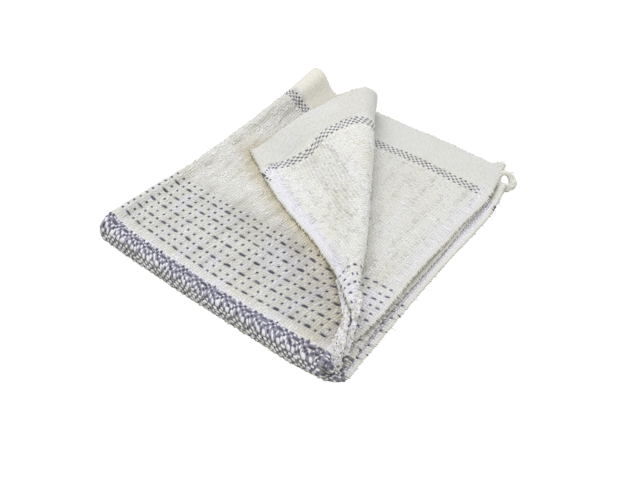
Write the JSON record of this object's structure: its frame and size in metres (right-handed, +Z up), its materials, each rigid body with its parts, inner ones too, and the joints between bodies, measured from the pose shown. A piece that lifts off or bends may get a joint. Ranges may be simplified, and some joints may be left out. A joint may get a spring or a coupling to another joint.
{
  "type": "folded floor cloth",
  "caption": "Woven cotton floor cloth folded in four, its far right top corner turned back in a loose roll, with a blue middle band, dash rows and thin end lines.",
  "frame": {"origin": "middle of the base, under the centre of the folded cloth's bounding box", "axes": "+Z up, +X along the front fold away from the left fold, +Y away from the front fold towards the hems"},
  "size_m": [0.3071, 0.3545, 0.0522],
  "materials": {
    "cotton": "undyed soft-spun cotton in a loose ribbed weave with grey-blue floats, matt"
  },
  "bodies": {
    "root": {"cloth": "cotton"}
  },
  "joints": []
}
